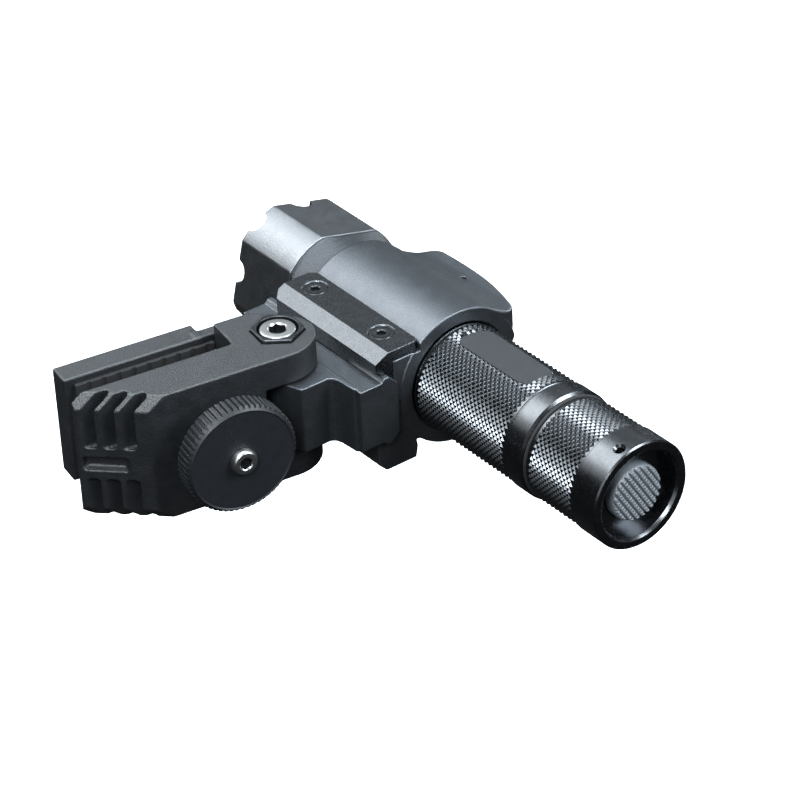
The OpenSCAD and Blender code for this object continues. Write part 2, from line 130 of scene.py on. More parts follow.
area("key", (-0.33, 0.62, 0.71), 0.8, 0.42, 0.42, 2.3, (0.94, 0.975, 1.0))
area("key_soft", (-0.33, 0.62, 0.71), 0.9, 0.9, 0.8, 3.0, (0.92, 0.97, 1.0))
area("overhead", (-0.35, -0.25, 0.90), 0.9, 0.5, 0.5, 3.2, (0.90, 0.96, 1.0))
area("top", (0.05, 0.2, 0.98), 0.9, 0.4, 0.4, 7.4, (0.80, 0.92, 1.0))
area("front_left", (-0.51, -0.52, 0.68), 0.9, 0.3, 0.3, 6.0, (0.88, 0.95, 1.0))
area("front_right", (0.62, -0.62, 0.45), 1.0, 0.5, 0.3, 5.2, (0.82, 0.92, 1.0))
area("edge", (0.52, -0.48, 0.70), 0.9, 0.32, 0.32, 5.0, (0.88, 0.95, 1.0))
area("rim", (0.85, 0.45, 0.25), 0.9, 0.30, 0.7, 2.4, (0.86, 0.94, 1.0))
area("back", (0.38, 0.74, 0.55), 0.9, 0.7, 0.5, 0.45, (0.86, 0.94, 1.0))
area("fill", (-0.75, -0.6, 0.25), 1.2, 0.6, 0.6, 1.1, (0.88, 0.95, 1.0))


def plain(name, colour, rough, emission=0.0):
    m = bpy.data.materials.new(name)
    m.use_nodes = True
    b = m.node_tree.nodes["Principled BSDF"]
    b.inputs["Base Color"].default_value = (*colour, 1)
    b.inputs["Roughness"].default_value = rough
    if emission:
        b.inputs["Emission Color"].default_value = (1, 1, 1, 1)
        b.inputs["Emission Strength"].default_value = emission
    return m


def disc(name, radius, z, mat):
    bm = bmesh.new()
    bmesh.ops.create_circle(bm, cap_ends=True, segments=96, radius=radius)
    me = bpy.data.meshes.new(name)
    bm.to_mesh(me)
    bm.free()
    o = bpy.data.objects.new(name, me)
    o.location = (centre.x, centre.y, z)
    me.materials.append(mat)
    scene.collection.objects.link(o)
    return o


floor = disc("floor", 6.0, cad_lo.z - 0.16, plain("floor_paint", (0.9, 0.9, 0.9), 0.8, 0.75))
floor.visible_glossy = False
floor.visible_diffuse = False
bm = bmesh.new()
bmesh.ops.create_uvsphere(bm, u_segments=64, v_segments=32, radius=8.0)
me = bpy.data.meshes.new("backdrop")
bm.to_mesh(me)
bm.free()
backdrop = bpy.data.objects.new("backdrop", me)
backdrop.location = centre
me.materials.append(plain("backdrop_paint", (0, 0, 0), 1.0, 1.0))
scene.collection.objects.link(backdrop)
for flag in ("visible_diffuse", "visible_glossy", "visible_shadow", "visible_volume_scatter"):
    setattr(backdrop, flag, False)


# ---------------------------------------------------------------- materials
def material(
    name,
    colour,
    rough,
    metallic=0.0,
    grain=0.0,
    grain_mm=0.2,
    speckle=0.0,
    speckle_mm=0.25,
    rough_var=0.0,
    blotch=0.0,
    blotch_mm=6.0,
    coat=0.0,
    coat_rough=0.1,
    specular=0.5,
    edge=0.0,
    wave=None,
):
    """A surface with fine grain in colour, roughness and height, sized in mm."""
    m = bpy.data.materials.new(name)
    m.use_nodes = True
    t = m.node_tree
    n, l = t.nodes, t.links
    b = n["Principled BSDF"]
    b.inputs["Metallic"].default_value = metallic
    b.inputs["Roughness"].default_value = rough
    b.inputs["Specular IOR Level"].default_value = specular
    b.inputs["Base Color"].default_value = (*colour, 1)
    if coat:
        b.inputs["Coat Weight"].default_value = coat
        b.inputs["Coat Roughness"].default_value = coat_rough
    co = n.new("ShaderNodeTexCoord")

    def noise(mm, detail=2.0, roughness=0.5):
        x = n.new("ShaderNodeTexNoise")
        x.inputs["Scale"].default_value = 1.0 / (mm * MM)
        x.inputs["Detail"].default_value = detail
        x.inputs["Roughness"].default_value = roughness
        l.new(co.outputs["Object"], x.inputs["Vector"])
        return x.outputs["Fac"]

    def ramp(src, lo, hi, a, c):
        r = n.new("ShaderNodeMapRange")
        r.inputs["From Min"].default_value = lo
        r.inputs["From Max"].default_value = hi
        r.inputs["To Min"].default_value = a
        r.inputs["To Max"].default_value = c
        l.new(src, r.inputs["Value"])
        return r.outputs["Result"]

    def math_node(op, a, c):
        r = n.new("ShaderNodeMath")
        r.operation = op
        for i, v in enumerate((a, c)):
            if isinstance(v, (int, float)):
                r.inputs[i].default_value = v
            else:
                l.new(v, r.inputs[i])
        return r.outputs["Value"]

    factor = None
    if speckle:
        factor = ramp(noise(speckle_mm, 3.0, 0.7), 0.3, 0.7, 1.0 - speckle, 1.0 + speckle)
    if blotch:
        f2 = ramp(noise(blotch_mm, 3.0, 0.5), 0.3, 0.7, 1.0 - blotch, 1.0 + blotch)
        factor = f2 if factor is None else math_node("MULTIPLY", factor, f2)
    if factor is not None:
        mul = n.new("ShaderNodeVectorMath")
        mul.operation = "SCALE"
        mul.inputs[0].default_value = colour
        l.new(factor, mul.inputs["Scale"])
        l.new(mul.outputs["Vector"], b.inputs["Base Color"])
    if rough_var:
        r = ramp(noise(blotch_mm * 0.4, 4.0, 0.6), 0.3, 0.7, rough - rough_var, rough + rough_var)
        l.new(r, b.inputs["Roughness"])
    height = None
    if grain:
        height = noise(grain_mm, 2.0, 0.55)
        bump = n.new("ShaderNodeBump")
        bump.inputs["Strength"].default_value = grain
        bump.inputs["Distance"].default_value = grain_mm * MM * 0.5
        l.new(height, bump.inputs["Height"])
        l.new(bump.outputs["Normal"], b.inputs["Normal"])
    return m


M = {}
M["clamp_polymer"] = material(
    "clamp_polymer", (0.0085, 0.0100, 0.0120), 0.47, specular=1.0, grain=0.8, grain_mm=0.5, speckle=0.35,
    speckle_mm=0.35, rough_var=0.06, blotch=0.10, blotch_mm=9)
M["insert_brass"] = material("insert_brass", (0.62, 0.48, 0.22), 0.3, 1.0, rough_var=0.05, blotch=0.05)
M["lining_rubber"] = material("lining_rubber", (0.018, 0.018, 0.019), 0.75, grain=0.4, grain_mm=0.25, speckle=0.2, speckle_mm=0.5)
M["screw_steel"] = material("screw_steel", (0.58, 0.58, 0.57), 0.33, 1.0, grain=0.02, grain_mm=0.3, rough_var=0.03, blotch=0.04, blotch_mm=2.5)
M["screw_black"] = material("screw_black", (0.085, 0.089, 0.095), 0.32, 0.95, grain=0.1, grain_mm=0.3, rough_var=0.06, blotch=0.15, blotch_mm=2.0)
M["washer_nylon"] = material("washer_nylon", (0.70, 0.69, 0.64), 0.5, grain=0.1, grain_mm=0.2, blotch=0.04)
M["wheel_black"] = material("wheel_black", (0.014, 0.0155, 0.0180), 0.44, 0.0, grain=0.35, grain_mm=0.3, speckle=0.25, speckle_mm=0.4, rough_var=0.05)
M["mount_anodised"] = material("mount_anodised", (0.148, 0.158, 0.171), 0.39, 0.93, grain=0.5, grain_mm=0.4, speckle=0.16, speckle_mm=0.45, rough_var=0.04, blotch=0.05, blotch_mm=8)
M["jaw_anodised"] = material("jaw_anodised", (0.118, 0.124, 0.132), 0.27, 1.0, grain=0.45, grain_mm=0.35, speckle=0.14, speckle_mm=0.3, rough_var=0.04)
M["barrel_anodised"] = material("barrel_anodised", (0.132, 0.138, 0.146), 0.25, 1.0, grain=0.12, grain_mm=0.15, rough_var=0.04, blotch=0.08, blotch_mm=4)
M["head_anodised"] = material("head_anodised", (0.27, 0.281, 0.295), 0.36, 0.98, grain=0.5, grain_mm=0.4, speckle=0.14, speckle_mm=0.45, rough_var=0.04, blotch=0.05, blotch_mm=8)
M["cone_anodised"] = material("cone_anodised", (0.072, 0.075, 0.081), 0.45, 0.9, grain=0.35, grain_mm=0.4, speckle=0.25, speckle_mm=0.5, rough_var=0.05)
M["flat_anodised"] = material("flat_anodised", (0.075, 0.077, 0.082), 0.4, 0.6, grain=0.2, grain_mm=0.2, speckle=0.1, speckle_mm=0.3, rough_var=0.04)
M["reflector_mirror"] = material("reflector_mirror", (0.88, 0.88, 0.89), 0.06, 1.0, grain=0.06, grain_mm=0.6, rough_var=0.02)
M["led_board_white"] = material("led_board_white", (0.80, 0.80, 0.77), 0.5, speckle=0.05, speckle_mm=0.5)
M["led_phosphor"] = material("led_phosphor", (0.86, 0.74, 0.18), 0.3, speckle=0.05, speckle_mm=0.3)
M["driver_brass"] = material("driver_brass", (0.66, 0.52, 0.26), 0.3, 1.0, rough_var=0.05, blotch=0.05)
M["contact_brass"] = material("contact_brass", (0.70, 0.58, 0.30), 0.25, 1.0, rough_var=0.05, blotch=0.05)
M["spring_steel"] = material("spring_steel", (0.62, 0.62, 0.60), 0.25, 1.0, rough_var=0.05, blotch=0.05)
M["cell_wrap"] = material("cell_wrap", (0.06, 0.16, 0.30), 0.35, 0.0, blotch=0.03, grain=0.1, grain_mm=0.8)
M["switch_plastic"] = material("switch_plastic", (0.05, 0.05, 0.05), 0.5, grain=0.2, grain_mm=0.3, speckle=0.1)
M["button_rubber"] = material("button_rubber", (0.20, 0.217, 0.237), 0.36, specular=1.0, grain=0.3, grain_mm=0.2, speckle=0.15, speckle_mm=0.4)
glass = material("lens_glass", (0.93, 0.97, 1.0), 0.035, 0.0, rough_var=0.02, blotch=0.01)
gb = glass.node_tree.nodes["Principled BSDF"]
gb.inputs["Transmission Weight"].default_value = 1.0
gb.inputs["IOR"].default_value = 1.5
M["lens_glass"] = glass

# ---------------------------------------------------------------- meshes
def put(name, pts, faces, place, body, slot, replaces=(), normals=None, smooth=True):
    """A piece from points in mm in the frame `place`, kept in the row frame in metres."""
    r = np.array(place.to_3x3())
    t = np.array(place.translation)
    v = np.asarray(pts, float) @ r.T + t
    me = bpy.data.meshes.new(name)
    faces = faces if isinstance(faces, list) else faces.tolist()
    if normals is None:
        # faces look outwards: the volume they close is positive
        w = v - v.mean(0)
        six = sum(float(w[f[0]] @ np.cross(w[f[i]], w[f[i + 1]])) for f in faces for i in range(1, len(f) - 1))
        if six < 0:
            faces = [f[::-1] for f in faces]
    me.from_pydata(v.tolist(), [], faces)
    me.update()
    me.polygons.foreach_set("use_smooth", [smooth] * len(me.polygons))
    me.materials.append(M[slot])
    if normals is not None:
        nr = np.asarray(normals) @ (r / np.linalg.norm(r[0])).T
        me.normals_split_custom_set_from_vertices(nr.tolist())
    o = bpy.data.objects.new(name, me)
    scene.collection.objects.link(o)
    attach(o, body)
    if replaces:
        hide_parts(*replaces)
    return o


# Distances in mm, negative inside.  x, y and z may be grids or lists.
def hyp(a, b):
    return np.sqrt(a * a + b * b)


def both(a, b, r=0.0):
    """What a and b share, with the new outer edge rounded to r."""
    if r == 0:
        return np.maximum(a, b)
    return np.minimum(np.maximum(a, b), -r) + hyp(np.maximum(a + r, 0), np.maximum(b + r, 0))


def less(a, b, r=0.0):
    return both(a, -b, r)


def join(a, b, r=0.0):
    """a and b together, with the corner between them filled to r."""
    if r == 0:
        return np.minimum(a, b)
    return np.maximum(np.minimum(a, b), r) - hyp(np.maximum(r - a, 0), np.maximum(r - b, 0))


def span(v, lo, hi):
    return np.maximum(lo - v, v - hi)


def block(x, y, z, x0, x1, y0, y1, z0, z1, r=0.0):
    return both(both(span(x, x0, x1), span(y, y0, y1), r), span(z, z0, z1), r)


def soften(pts, n=6):
    """Corners given as (u, v, radius) turned to arcs."""
    out = []
    m = len(pts)
    for i, p in enumerate(pts):
        v = np.array(p[:2], float)
        r = p[2] if len(p) > 2 else 0.0
        a = np.array(pts[i - 1][:2], float) - v
        b = np.array(pts[(i + 1) % m][:2], float) - v
        la, lb = np.linalg.norm(a), np.linalg.norm(b)
        a, b = a / la, b / lb
        th = math.acos(max(-1, min(1, float(a @ b))))
        if r <= 0 or th > math.pi - 0.02:
            out.append(v)
            continue
        t = min(r / math.tan(th / 2), 0.48 * min(la, lb))
        r = t * math.tan(th / 2)
        c = v + (a + b) / np.linalg.norm(a + b) * (r / math.sin(th / 2))
        s, e = v + a * t - c, v + b * t - c
        phi = math.pi - th
        for k in range(n + 1):
            u = k / n
            out.append(c + (math.sin((1 - u) * phi) * s + math.sin(u * phi) * e) / math.sin(phi))
    return np.array(out)


def outline(pts):
    """Distance to a closed outline of straight edges."""
    p = np.asarray(pts, float)

    def f(u, v):
        u, v = np.broadcast_arrays(u, v)
        d = np.full(u.shape, 1e9)
        odd = np.zeros(u.shape, bool)
        for i in range(len(p)):
            a, b = p[i], p[(i + 1) % len(p)]
            e = b - a
            wx, wy = u - a[0], v - a[1]
            t = np.clip((wx * e[0] + wy * e[1]) / (e @ e), 0, 1)
            d = np.minimum(d, (wx - e[0] * t) ** 2 + (wy - e[1] * t) ** 2)
            c1, c2, c3 = v >= a[1], v < b[1], e[0] * wy > e[1] * wx
            odd ^= (c1 & c2 & c3) | (~c1 & ~c2 & ~c3)
        return np.where(odd, -np.sqrt(d), np.sqrt(d))

    return f


def hexagon(u, v, apothem, turn):
    d = None
    for k in range(3):
        a = math.radians(turn + 30 + 60 * k)
        s = np.abs(u * math.cos(a) + v * math.sin(a))
        d = s if d is None else np.maximum(d, s)
    return d - apothem


CORNERS = np.array([(i, j, k) for i in (0, 1) for j in (0, 1) for k in (0, 1)])
EDGES = [(a, b) for a in range(8) for b in range(a + 1, 8) if np.abs(CORNERS[a] - CORNERS[b]).sum() == 1]


def skin(f, lo, hi, h):
    """Quads on the surface f = 0, with each point moved onto it."""
    lo = np.array(lo, float) - 1.37 * h
    n = np.ceil((np.array(hi, float) - lo) / h).astype(int) + 3
    ax = [lo[i] + h * np.arange(n[i]) for i in range(3)]
    d = f(ax[0][:, None, None], ax[1][None, :, None], ax[2][None, None, :])
    d = np.broadcast_to(d, n).astype(np.float32)
    d = np.where(np.abs(d) < 1e-5, np.float32(1e-5), d)
    s = d < 0
    parts = [s[i : n[0] - 1 + i, j : n[1] - 1 + j, k : n[2] - 1 + k] for i, j, k in CORNERS]
    some, every = parts[0].copy(), parts[0].copy()
    for q in parts[1:]:
        some |= q
        every &= q
    act = some & ~every
    idx = np.argwhere(act)
    val = np.stack([d[idx[:, 0] + i, idx[:, 1] + j, idx[:, 2] + k] for i, j, k in CORNERS], 1).astype(float)
    acc = np.zeros((len(idx), 3))
    cnt = np.zeros(len(idx))
    for a, b in EDGES:
        va, vb = val[:, a], val[:, b]
        m = (va < 0) != (vb < 0)
        t = va[m] / (va[m] - vb[m])
        acc[m] += CORNERS[a] + t[:, None] * (CORNERS[b] - CORNERS[a])
        cnt[m] += 1
    p = lo + h * (idx + acc / cnt[:, None])
    ids = np.full(act.shape, -1, np.int64)
    ids[act] = np.arange(len(idx))
    quads = []
    for a in range(3):
        b, c = (a + 1) % 3, (a + 2) % 3
        sl0 = [slice(None)] * 3
        sl1 = [slice(None)] * 3
        sl0[a], sl1[a] = slice(0, n[a] - 1), slice(1, n[a])
        s0, s1 = s[tuple(sl0)], s[tuple(sl1)]
        e = np.argwhere(s0 != s1)
        e = e[(e[:, b] > 0) & (e[:, c] > 0) & (e[:, b] < n[b] - 1) & (e[:, c] < n[c] - 1)]
        out = s0[tuple(e.T)]

        def cell(db, dc):
            g = e.copy()
            g[:, b] += db
            g[:, c] += dc
            return ids[tuple(g.T)]

        q = np.stack([cell(-1, -1), cell(0, -1), cell(0, 0), cell(-1, 0)], 1)
        q[~out] = q[~out][:, ::-1]
        quads.append(q)
    quads = np.concatenate(quads)

    def grad(p):
        w = 0.02
        g = []
        for a in range(3):
            q, r = p.copy(), p.copy()
            q[:, a] += w
            r[:, a] -= w
            g.append((f(q[:, 0], q[:, 1], q[:, 2]) - f(r[:, 0], r[:, 1], r[:, 2])) / (2 * w))
        return np.stack(g, 1)

    for _ in range(3):
        g = grad(p)
        v = f(p[:, 0], p[:, 1], p[:, 2])
        step = g * (v / np.maximum((g * g).sum(1), 0.25))[:, None]
        ln = np.linalg.norm(step, axis=1)
        step *= np.minimum(1.0, 0.4 * h / np.maximum(ln, 1e-9))[:, None]
        p = p - step
    g = grad(p)
    g /= np.maximum(np.linalg.norm(g, axis=1), 1e-6)[:, None]
    return p, quads, g


def carve(name, f, lo, hi, h, place, body, slot, replaces=()):
    p, q, g = skin(f, lo, hi, h)
    return put(name, p, q, place, body, slot, replaces, normals=g)


# ---------------------------------------------------------------- clamp
BEV = math.atan2(-11.9, 16.1)
ear = [(-2.6 + 12.2 * math.cos(math.radians(a)), -0.7 + 12.2 * math.sin(math.radians(a)), 0) for a in range(-90, -4, 5)]
clamp_plan = outline(soften(
    [(-60.7, 0.5, 0.3), (-60.7, -1.0, 0.7), (-44.6, -12.9, 2.4)] + ear
    + [(8.9, 1.4, 1.0), (7.6, 3.6, 1.0), (2, 8.8, 3.0), (-2, 11.7, 2.0), (-3, 12.2, 2.0), (-13.5, 12.2, 0.8), (-13.5, 0.5, 1.0)]))
GROOVES = ((-4.0, -1.95, -51.3), (-7.15, -5.0, -47.3), (-10.35, -8.2, -43.3))


def clamp_body(x, y, z):
    d = both(clamp_plan(x, y), np.abs(z) - 19.5, 0.5)
    u = (x + 60.7) * math.cos(BEV) + (y + 1.0) * math.sin(BEV)
    v = -(x + 60.7) * math.sin(BEV) + (y + 1.0) * math.cos(BEV)
    d = both(d, (-3.8 * v + 3.0 * (np.abs(z) - 15.7)) / math.hypot(3.8, 3.0), 0.28)
    d = less(d, both(-10.4 - x, np.abs(z) - 10.6, 0.5), 0.35)
    d = less(d, both(hexagon(x, y, 6.65, 32), 14.6 - z), 0.25)
    d = less(d, both(hexagon(x, y, 5.1, 32), z + 14.0), 0.25)
    d = less(d, hyp(x, y) - 4.55)
    d = less(d, hyp(x + 23.8, z) - 6.0, 0.3)
    d = less(d, both(hyp(x + 23.8, z) - 9.6, -5.5 - y), 0.3)
    for y0, y1, xe in GROOVES:
        w = (y1 - y0) / 2
        yc = (y0 + y1) / 2
        u2 = both(np.abs(y - yc) - w, x - xe + w)
        round_end = hyp(np.maximum(x - (xe - w), 0), y - yc) - w
        g2 = np.maximum(round_end, np.abs(y - yc) - w)
        g2 = np.where(x > xe - w, hyp(x - (xe - w), y - yc) - w, np.abs(y - yc) - w)
        up = both(g2, 3.6 - z, 0.9)
        dn = both(g2, z + 6.1, 0.9)
        d = less(d, up, 0.22)
        d = less(d, dn, 0.22)
    # scooped pocket between the grooves
    pk = both(both(span(u, 0.8, 13.5), span(z, -3.5, 0.9), 1.2), v - 1.9, 0.0)
    pk = both(both(span(u, 0.8, 13.5) + 0.45 * v, span(z, -3.5, 0.9) + 0.35 * v, 1.0), v - 1.9, 0.5)
    d = less(d, pk, 0.25)
    for s in (-1, 1):
        d = less(d, both(hyp(x + 9.2, z - s * 13.4) - 1.25, 4.2 - y))
    return d


def rear_jaw(x, y, z):
    d = both(both(span(x, -57.7, -13.5 - 3.0), span(y, 12.5, 20.0), 0.6), np.abs(z) - 16.2, 0.6)
    d = block(x, y, z, -57.7, -16.5, 12.5, 20.0, -16.2, 16.2, 0.6)
    for s in (-1, 1):
        zc = s * 13.5
        d = join(d, block(x, y, z, -18.5, -5.0, 12.5, 16.3, zc - 2.7, zc + 2.7, 0.5), 0.8)
    a = math.radians(33)
    d = both(d, -math.sin(a) * (x + 57.7) + math.cos(a) * (y - 20.5), 0.6)
    d = less(d, block(x, y, z, -54.7, -13.7, 10.0, 13.1, -14.2, 14.2))
    for s in (-1, 1):
        r = hyp(x + 9.2, z - s * 13.4)
        d = less(d, r - 1.6)
        d = less(d, both((r - 1.6 - (y - 14.5) * 0.95) * 0.72, 14.5 - y), 0.1)
    return d


carve("clamp_shell", clamp_body, (-60.7, -12.9, -19.5), (9.7, 12.2, 19.5), 0.36, PIVOT, "clamp", "clamp_polymer", ("clamp_body",))
carve("rear_jaw_shell", rear_jaw, (-57.7, 12.5, -16.2), (-5.0, 20.0, 16.2), 0.36, PIVOT, "clamp", "clamp_polymer", ("rear_jaw",))


def bushing(x, y, z):
    top = both(hexagon(x, y, 6.5, 32), span(z, 14.65, 20.3), 0.28)
    r = hyp(x, y)
    # turned chamfer over the hexagon's corners
    top = both(top, (r - 7.15 + (z - 20.3) * 0.6) * 0.86, 0.0)
    d = np.minimum(top, both(r - 4.5, span(z, -10.9, 15)))
    d = less(d, both(r - 5.7, 15.8 - z), 0.15)
    return less(d, r - 3.05)


def socket_screw(name, centre, axis, apothem, turn, floor, lip, profile, body, slot, replaces, place):
    """A turned screw with a hexagon socket; heights run along `axis`, the socket's rim is `lip` wide."""
    n = 96
    th = np.radians(turn) + np.arange(n) * 2 * np.pi / n
    hexr = apothem / np.cos(np.mod(th - math.radians(turn), math.pi / 3) - math.pi / 6)
    top = profile[0][1]
    rows = [(hexr, np.full(n, floor)), (hexr, top - (lip - hexr) * 0.9), (np.full(n, lip), np.full(n, top))]
    rows += [(np.full(n, r), np.full(n, h)) for r, h in profile]
    a = np.array(axis, float)
    u = np.array((1.0, 0.0, 0.0))
    v = np.cross(a, u)
    pts = [np.array(centre) + a * (floor - 0.25)]
    for r, h in rows:
        pts.extend(np.array(centre) + np.outer(r * np.cos(th), u) + np.outer(r * np.sin(th), v) + np.outer(h, a))
    pts.append(np.array(centre) + a * profile[-1][1])
    fc = [(0, 1 + k, 1 + (k + 1) % n) for k in range(n)]
    for i in range(len(rows) - 1):
        b, c = 1 + i * n, 1 + (i + 1) * n
        fc.extend((b + k, c + k, c + (k + 1) % n, b + (k + 1) % n) for k in range(n))
    b, e = 1 + (len(rows) - 1) * n, len(pts) - 1
    fc.extend((b + k, e, b + (k + 1) % n) for k in range(n))
    o = put(name, pts, fc, place, body, slot, replaces)
    # painted shade: the socket's floor and walls take the dark screw_black finish, so the hexagon recess reads dark
    o.data.materials.append(M["screw_black"])
    for f in o.data.polygons[: 2 * n]:
        f.material_index = 1
    o.data.set_sharp_from_angle(angle=math.radians(22))
    return o


carve("bushing_shell", bushing, (-7.3, -7.3, -10.9), (7.3, 7.3, 20.3), 0.2, PIVOT, "clamp", "screw_black", ("pivot_bushing",))
socket_screw("bolt_shell", (0, 0, 0), (0, 0, 1), 2.3, 12, 17.4, 2.8,
             [(4.45, 20.1), (4.7, 20.04), (4.9, 19.88), (5.0, 19.65), (5.0, 15.85), (3.0, 15.85), (3.0, -18.3), (2.7, -18.6)],
             "clamp", "screw_steel", ("pivot_bolt",), PIVOT)

WF = -24.6  # front face of the thumbwheel


socket_screw("wheel_screw_shell", (-23.8, WF, 0), (0, -1, 0), 1.6, 20, 0.3, 2.0,
             [(2.75, 1.95), (3.1, 1.86), (3.4, 1.62), (3.62, 1.25), (3.75, 0.8), (3.75, -0.1), (3.6, -0.25), (1.95, -0.25), (1.95, -9.8), (1.75, -10)],
             "thumbwheel", "screw_steel", ("thumbwheel_screw",), PIVOT)


def rings(profile, n, turn=0.0):
    """Points of a closed revolve about +Y from (radius, y) pairs."""
    a = np.radians(turn) + np.arange(n) * 2 * np.pi / n
    return np.concatenate([np.stack([r * np.cos(a), np.full(n, y), r * np.sin(a)], 1) for r, y in profile])


def ring_faces(m, n, close=True, base=0):
    f = []
    for i in range(m if close else m - 1):
        j = (i + 1) % m
        for k in range(n):
            q = (k + 1) % n
            f.append((base + i * n + k, base + i * n + q, base + j * n + q, base + j * n + k))
    return f


def toothed_wheel():
    teeth = 60
    per = 6
    n = teeth * per
    # columns of one tooth: valley, valley, flank, crest, crest, flank
    low = np.array([1, 1, 0.15, 0, 0, 0.15])
    frac = np.array([-0.16, 0.16, 0.24, 0.32, 0.68, 0.76])
    a = np.concatenate([(t + frac) * 2 * np.pi / teeth for t in range(teeth)])
    lo = np.tile(low, teeth)
    rim, depth, c = 16.2, 0.8, 1.25
    rows = []

    def row(r, y):
        rows.append(np.stack([r * np.cos(a) - 23.8, np.broadcast_to(y, a.shape) + WF, r * np.sin(a)], 1))

    one = np.ones(n)
    row(2.1 * one, 2.0)
    row(2.1 * one, 0.25)
    row(14.6 * one, 0.25)
    row(14.78 * one, 0.1)
    row((rim - c) * one, 0.0)
    r1 = rim - depth * lo
    row(r1, (r1 - (rim - c)))
    row(rim - depth * lo, 7.0 - 0.8 + 0.75 * lo)
    row(15.35 * one, 7.0)
    row(4.0 * one, 7.0)
    row(4.0 * one, 2.0)
    pts = np.concatenate(rows)
    faces = []
    m = len(rows)
    for i in range(m):
        j = (i + 1) % m
        for k in range(n):
            q = (k + 1) % n
            faces.append((i * n + k, i * n + q, j * n + q, j * n + k))
    return pts, [f[::-1] for f in faces]


pts, faces = toothed_wheel()
wheel = put("thumbwheel_toothed", pts, faces, PIVOT, "thumbwheel", "wheel_black", ("thumbwheel",), smooth=False)

# ---------------------------------------------------------------- rail carrier
half = [(7.6, 25.4, 0.3), (6.6, 25.4, 0.3), (6.1, 24.6, 0.5), (5.7, 18.8, 1.2), (5.1, 17.0, 1.2), (3.9, 16.2, 1.5), (-4.3, 16.2, 1.0), (-4.9, 15.0, 1.0)]
nose = [(9.6 * math.cos(math.radians(a)), 9.6 * math.sin(math.radians(a)), 0) for a in range(198, 161, -4)]
carrier_plan = outline(soften([(x, -y, r) for x, y, r in half] + nose + half[::-1]))
rail_poly = outline(soften([(-21.8, 7.835, 0.2), (-24.565, 10.6, 0.25), (-26.0, 10.6, 0.25), (-27.1, 9.5, 0.2), (-29.5, 9.5),
                            (-29.5, -9.5), (-27.1, -9.5, 0.2), (-26.0, -10.6, 0.25), (-24.565, -10.6, 0.25), (-21.8, -7.835, 0.2)], 3))


def carrier(x, y, z):
    xp, yp = x + 41.2, y - 101.2
    head = both(rail_poly(x, z), np.abs(yp) - 27.0, 0.3)
    base = block(xp, yp, z, 6.9, 12.2, -27.0, 27.0, -9.5, 9.5, 0.3)
    d = np.minimum(head, base)
    sh = both(carrier_plan(xp, yp), np.abs(z) - 10.1, 0.35)
    d = np.minimum(d, sh)
    for i in range(-2, 3):
        d = less(d, both(np.abs(yp - i * 10.01) - 2.615, -24.8 - x, 0.1), 0.2)
    r = hyp(xp, yp)
    d = less(d, r - 4.55)
    return less(d, both(r - 8.5, 9.6 - np.abs(z)), 0.1)


carve("rail_carrier_shell", carrier, (-50.9, 74.2, -10.6), (-21.8, 128.2, 10.6), 0.3, LIGHT, "light", "mount_anodised", ("rail_carrier",))

# ---------------------------------------------------------------- ring mount
saddle_poly = outline(soften([(-8, 13.4), (-21.7, 13.4, 0.4), (-21.7, -7.8), (-24.62, -10.7), (-26.05, -10.7), (-27.0, -9.75),
                              (-27.9, -9.75, 0.3), (-27.9, -17.7, 0.9), (-25.4, -20.2, 0.9), (-15.3, -20.2, 0.5), (-14.6, -16.6), (-15.0, -14.6), (-8, -16)], 4))


def ring(x, y, z):
    rad = hyp(x, z)
    outer = 20.2 - 0.16 * np.clip((y - 119.9) / 0.25, 0, 1)
    d = both(rad - outer, span(y, 75.5, 123.1), 0.45)
    sad = both(saddle_poly(x, z), span(y, 75.9, 123.1), 0.4)
    d = np.minimum(d, sad)
    # wing, flowing out of the ring
    w2 = both(x - 26.0, span(z, 4.2, 12.0), 1.6)
    sec = join(rad - 20.15, w2, 5.0)
    plan = both(hyp(x + 59.3, y - 105.0) - 85.0, span(y, 75.5, 117.7), 4.5)
    wing = both(both(sec, plan, 0.8), -x)
    d = np.minimum(d, wing)
    d = less(d, hyp(x - 24.6, z - 1.2) - 6.0, 0.4)
    d = less(d, rad - 16.0, 0.55)
    d = less(d, both(both(span(x, -32, -12.88), 13.4 - z), span(y, 70, 130)), 0.1)
    d = less(d, both(hyp(x - 20.1, y - 98.7) - 0.78, 6 - z), 0.15)
    for i in (-1, 1):
        d = np.minimum(d, block(x, y, z, -24.6, -19.6, 101.2 + i * 10.01 - 2.55, 101.2 + i * 10.01 + 2.55, -7.6, 7.6, 0.2))
    return d


carve("ring_mount_shell", ring, (-27.9, 75.5, -20.2), (26.2, 123.1, 20.2), 0.43, LIGHT, "light", "mount_anodised", ("ring_mount",))

plate_a = outline([(-13.0, 13.5), (-13.0, 16.8), (-23.2, 16.8), (-27.6, 14.6), (-27.6, 11.7), (-21.8, 11.7), (-21.8, 13.5)])
plate_b = outline([(-21.85, 12.0), (-27.6, 12.0), (-27.6, 9.75), (-27.0, 9.75), (-26.05, 10.7), (-24.62, 10.7), (-21.85, 7.9)])
plate_c = outline([(-21.85, 12.0), (-26.2, 12.0), (-26.2, 10.75), (-24.62, 10.7), (-21.85, 7.9)])


